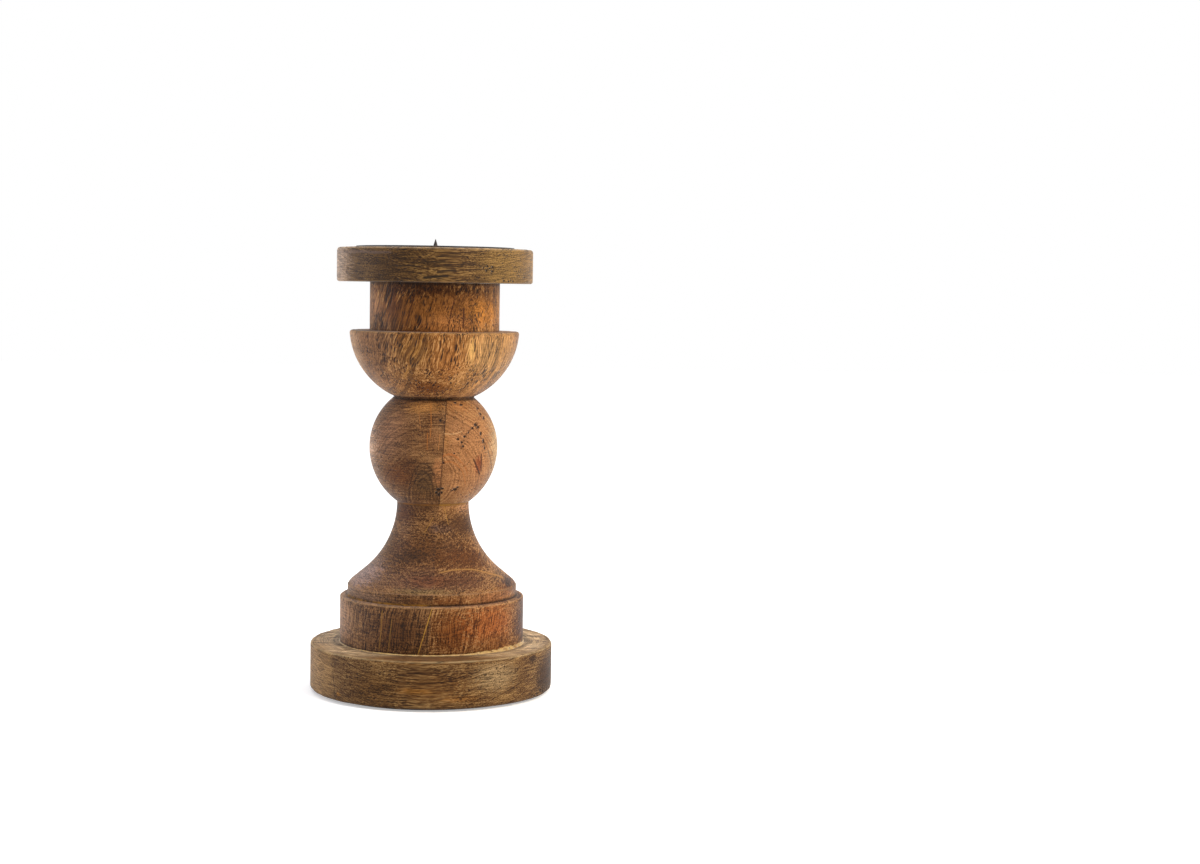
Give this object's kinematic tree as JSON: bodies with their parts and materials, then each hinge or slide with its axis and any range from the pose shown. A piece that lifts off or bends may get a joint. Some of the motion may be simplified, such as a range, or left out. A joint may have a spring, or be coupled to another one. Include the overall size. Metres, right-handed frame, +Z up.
{
  "type": "pricket candle stand",
  "caption": "Turned wooden pillar stand: a foot and bell, a ball and a bowl between two flat discs, with a recessed iron pan and a spike for one candle.",
  "frame": {"origin": "middle of the felt's underside, where the stand meets the table", "axes": "+Z up along the turning axis, towards the spike; +X to the right and +Y away from the viewer of the picture; the glue plane of the lower column faces +X"},
  "size_m": [0.12, 0.12, 0.2238],
  "materials": {
    "felt_black": "needled felt, matt",
    "mango_base": "waxed mango wood board, grain level",
    "screw_steel": "zinc plated steel",
    "mango_column_dark": "waxed mango wood, brown heartwood, turned",
    "mango_column_warm": "waxed mango wood, orange brown, turned",
    "beech_dowel": "plain beech, fluted",
    "mango_bowl": "waxed mango wood, golden brown, turned",
    "mango_top": "waxed mango wood board, grey brown",
    "iron_black": "pressed iron sheet, blackened, satin",
    "screw_black": "blackened steel",
    "iron_spike": "blackened iron, brown where ground to a point"
  },
  "bodies": {
    "root": {"base_felt": "felt_black", "base_disc": "mango_base", "base_screws": "screw_steel", "lower_column_left": "mango_column_dark", "lower_column_right": "mango_column_warm", "column_dowel": "beech_dowel", "upper_column": "mango_bowl", "top_screws": "screw_steel", "top_disc": "mango_top", "candle_pan": "iron_black", "pan_screws": "screw_black", "pricket": "iron_spike"}
  },
  "joints": []
}
